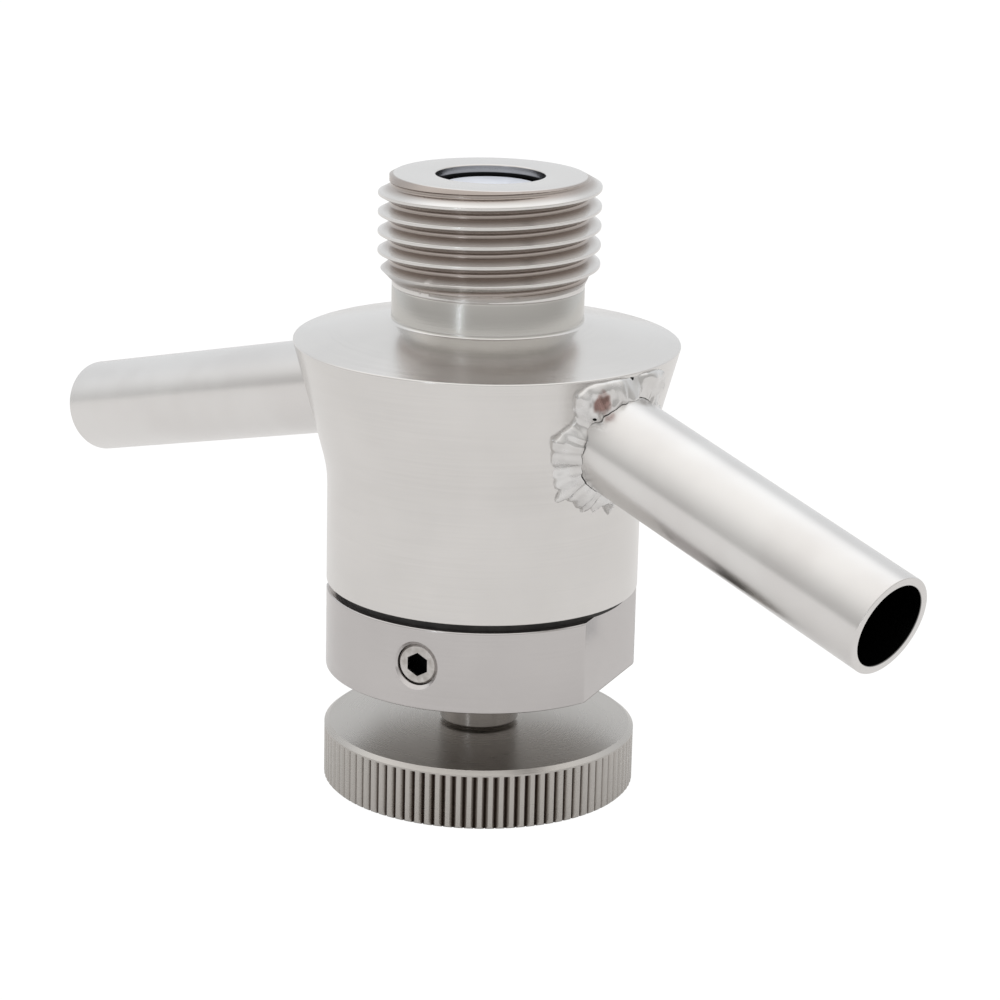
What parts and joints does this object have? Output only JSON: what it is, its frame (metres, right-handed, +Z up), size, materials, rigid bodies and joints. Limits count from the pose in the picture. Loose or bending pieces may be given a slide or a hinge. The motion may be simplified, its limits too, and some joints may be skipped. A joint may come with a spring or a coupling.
{
  "type": "sanitary sampling valve",
  "caption": "Sanitary sampling valve: flared stainless body with a threaded spigot, sloping welded side tubes, a wrench-flat bonnet and a knurled handwheel that lifts a silicone diaphragm.",
  "frame": {"origin": "centre of the handwheel's flat lower face, on the valve axis", "axes": "+Z up the valve axis towards the spigot; +X along the outlet tube, seen from above"},
  "size_m": [0.1105, 0.0368, 0.0595],
  "materials": {
    "body_steel": "fine turned and polished",
    "tube_steel": "drawn tube, satin along its length",
    "weld_metal": "rippled hand weld",
    "handwheel_steel": "satin with a straight knurl",
    "spindle_steel": "turned",
    "screw_steel": "plain",
    "bronze": "turned bronze",
    "bearing_plastic": "turned white PTFE",
    "seal_rubber": "matt black",
    "silicone": "milky, slightly glossy"
  },
  "bodies": {
    "valve": {"valve_body": "body_steel", "outlet_tube": "tube_steel", "inlet_tube": "tube_steel", "outlet_weld": "weld_metal", "inlet_weld": "weld_metal", "bonnet": "body_steel", "bonnet_seal": "seal_rubber", "spindle_nut": "bronze", "lock_screw": "screw_steel", "plunger_guide": "bearing_plastic", "diaphragm_clamp": "body_steel", "stem_seal": "seal_rubber"},
    "plunger": {"plunger": "spindle_steel", "diaphragm": "silicone", "diaphragm_insert": "spindle_steel", "swivel_pins": "screw_steel", "guide_pin": "screw_steel"},
    "handwheel": {"spindle": "spindle_steel", "thrust_washer": "bronze", "handwheel": "handwheel_steel", "handwheel_washer": "screw_steel", "handwheel_screw": "screw_steel", "handwheel_cap": "handwheel_steel"}
  },
  "joints": [
    {"name": "plunger_lift", "type": "slide", "parent": "valve", "child": "plunger", "axis": [0, 0, -1], "range_m": [0, 0.003], "deforming": ["diaphragm"]},
    {"name": "handwheel_turn", "type": "hinge", "parent": "plunger", "child": "handwheel", "pos_m": [0, 0, 0], "axis": [0, 0, -1], "range_deg": [0, 720]}
  ],
  "couplings": [
    {"joint": "handwheel_turn", "follows": "plunger_lift", "rad_per_m": 4188.8}
  ]
}
